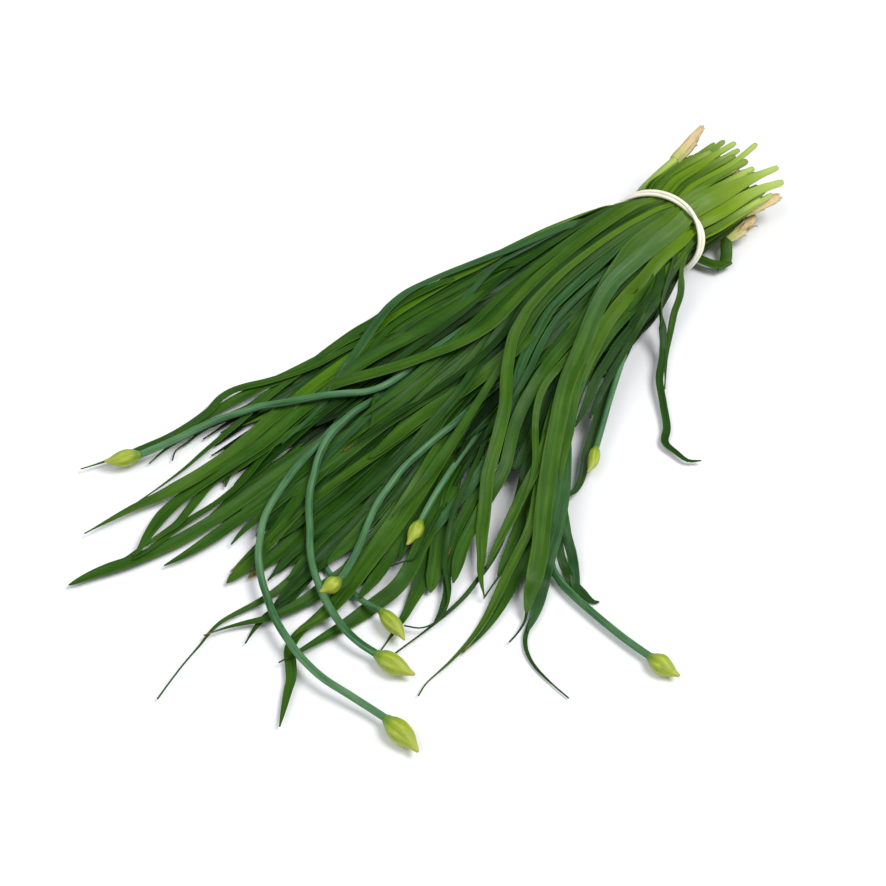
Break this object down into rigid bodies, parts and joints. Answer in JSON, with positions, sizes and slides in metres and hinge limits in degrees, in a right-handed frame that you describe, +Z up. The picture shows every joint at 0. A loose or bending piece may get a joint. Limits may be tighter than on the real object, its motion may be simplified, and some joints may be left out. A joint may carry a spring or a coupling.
{
  "type": "bunch of garlic chives",
  "caption": "Bunch of flat garlic chive leaves and budded flower stalks lying on its side, fanned out from a neck that a doubled rubber band ties.",
  "frame": {"origin": "on the surface that the bunch lies on, under the middle of its tied neck", "axes": "+X from the tied neck to the leaf tips, +Z up from the surface, +Y to the side where most of the flower stalks curve out"},
  "size_m": [0.3951, 0.2504, 0.039],
  "materials": {
    "leaf": "satin",
    "stalk": "satin",
    "dry_sheath": "matte",
    "band": "matte"
  },
  "bodies": {
    "root": {"leaf_bunch": "leaf", "flower_stalk_1": "stalk", "flower_stalk_2": "stalk", "flower_stalk_3": "stalk", "flower_stalk_4": "stalk", "flower_stalk_5": "stalk", "flower_stalk_6": "stalk", "flower_stalk_7": "stalk", "flower_stalk_8": "stalk", "dry_sheath_1": "dry_sheath", "dry_sheath_2": "dry_sheath", "dry_sheath_3": "dry_sheath", "dry_sheath_4": "dry_sheath", "rubber_band": "band"}
  },
  "joints": []
}
